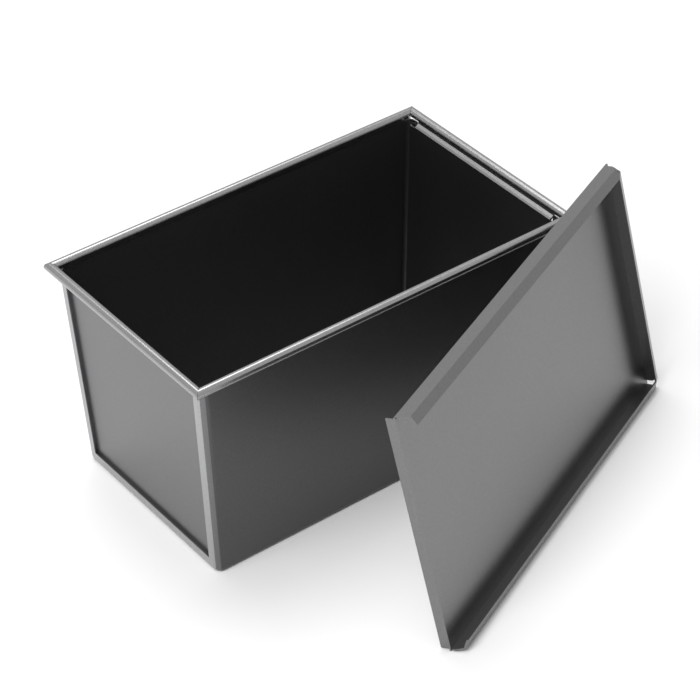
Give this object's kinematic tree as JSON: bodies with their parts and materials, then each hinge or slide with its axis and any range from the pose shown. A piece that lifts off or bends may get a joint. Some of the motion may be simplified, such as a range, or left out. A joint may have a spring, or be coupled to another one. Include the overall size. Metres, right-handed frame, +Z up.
{
  "type": "loaf pan",
  "caption": "Deep straight-sided loaf pan of dark coated sheet steel with a rolled rim and a flat slide-on lid that leans on one rim corner.",
  "frame": {"origin": "middle of the pan's underside, on the table", "axes": "+X along the pan, towards the end by the leaning lid's top; +Z up; -Y is the long side that the lid leans by"},
  "size_m": [0.2491, 0.214, 0.1178],
  "materials": {
    "coated_body": "satin dark grey non-stick coat",
    "coated_end": "satin dark grey non-stick coat",
    "coated_lid": "satin dark grey non-stick coat",
    "wire": "drawn steel wire"
  },
  "bodies": {
    "pan": {"body_wrap": "coated_body", "end_panel_left": "coated_end", "end_panel_right": "coated_end", "rim_wire": "wire"},
    "lid": {"lid": "coated_lid"}
  },
  "joints": [
    {"name": "lid_tip", "type": "hinge", "parent": "pan", "child": "lid", "pos_m": [-0.04076, -0.15648, 0.00151], "axis": [0.9143, 0.4051, 0], "range_deg": [0, 102.8]}
  ]
}
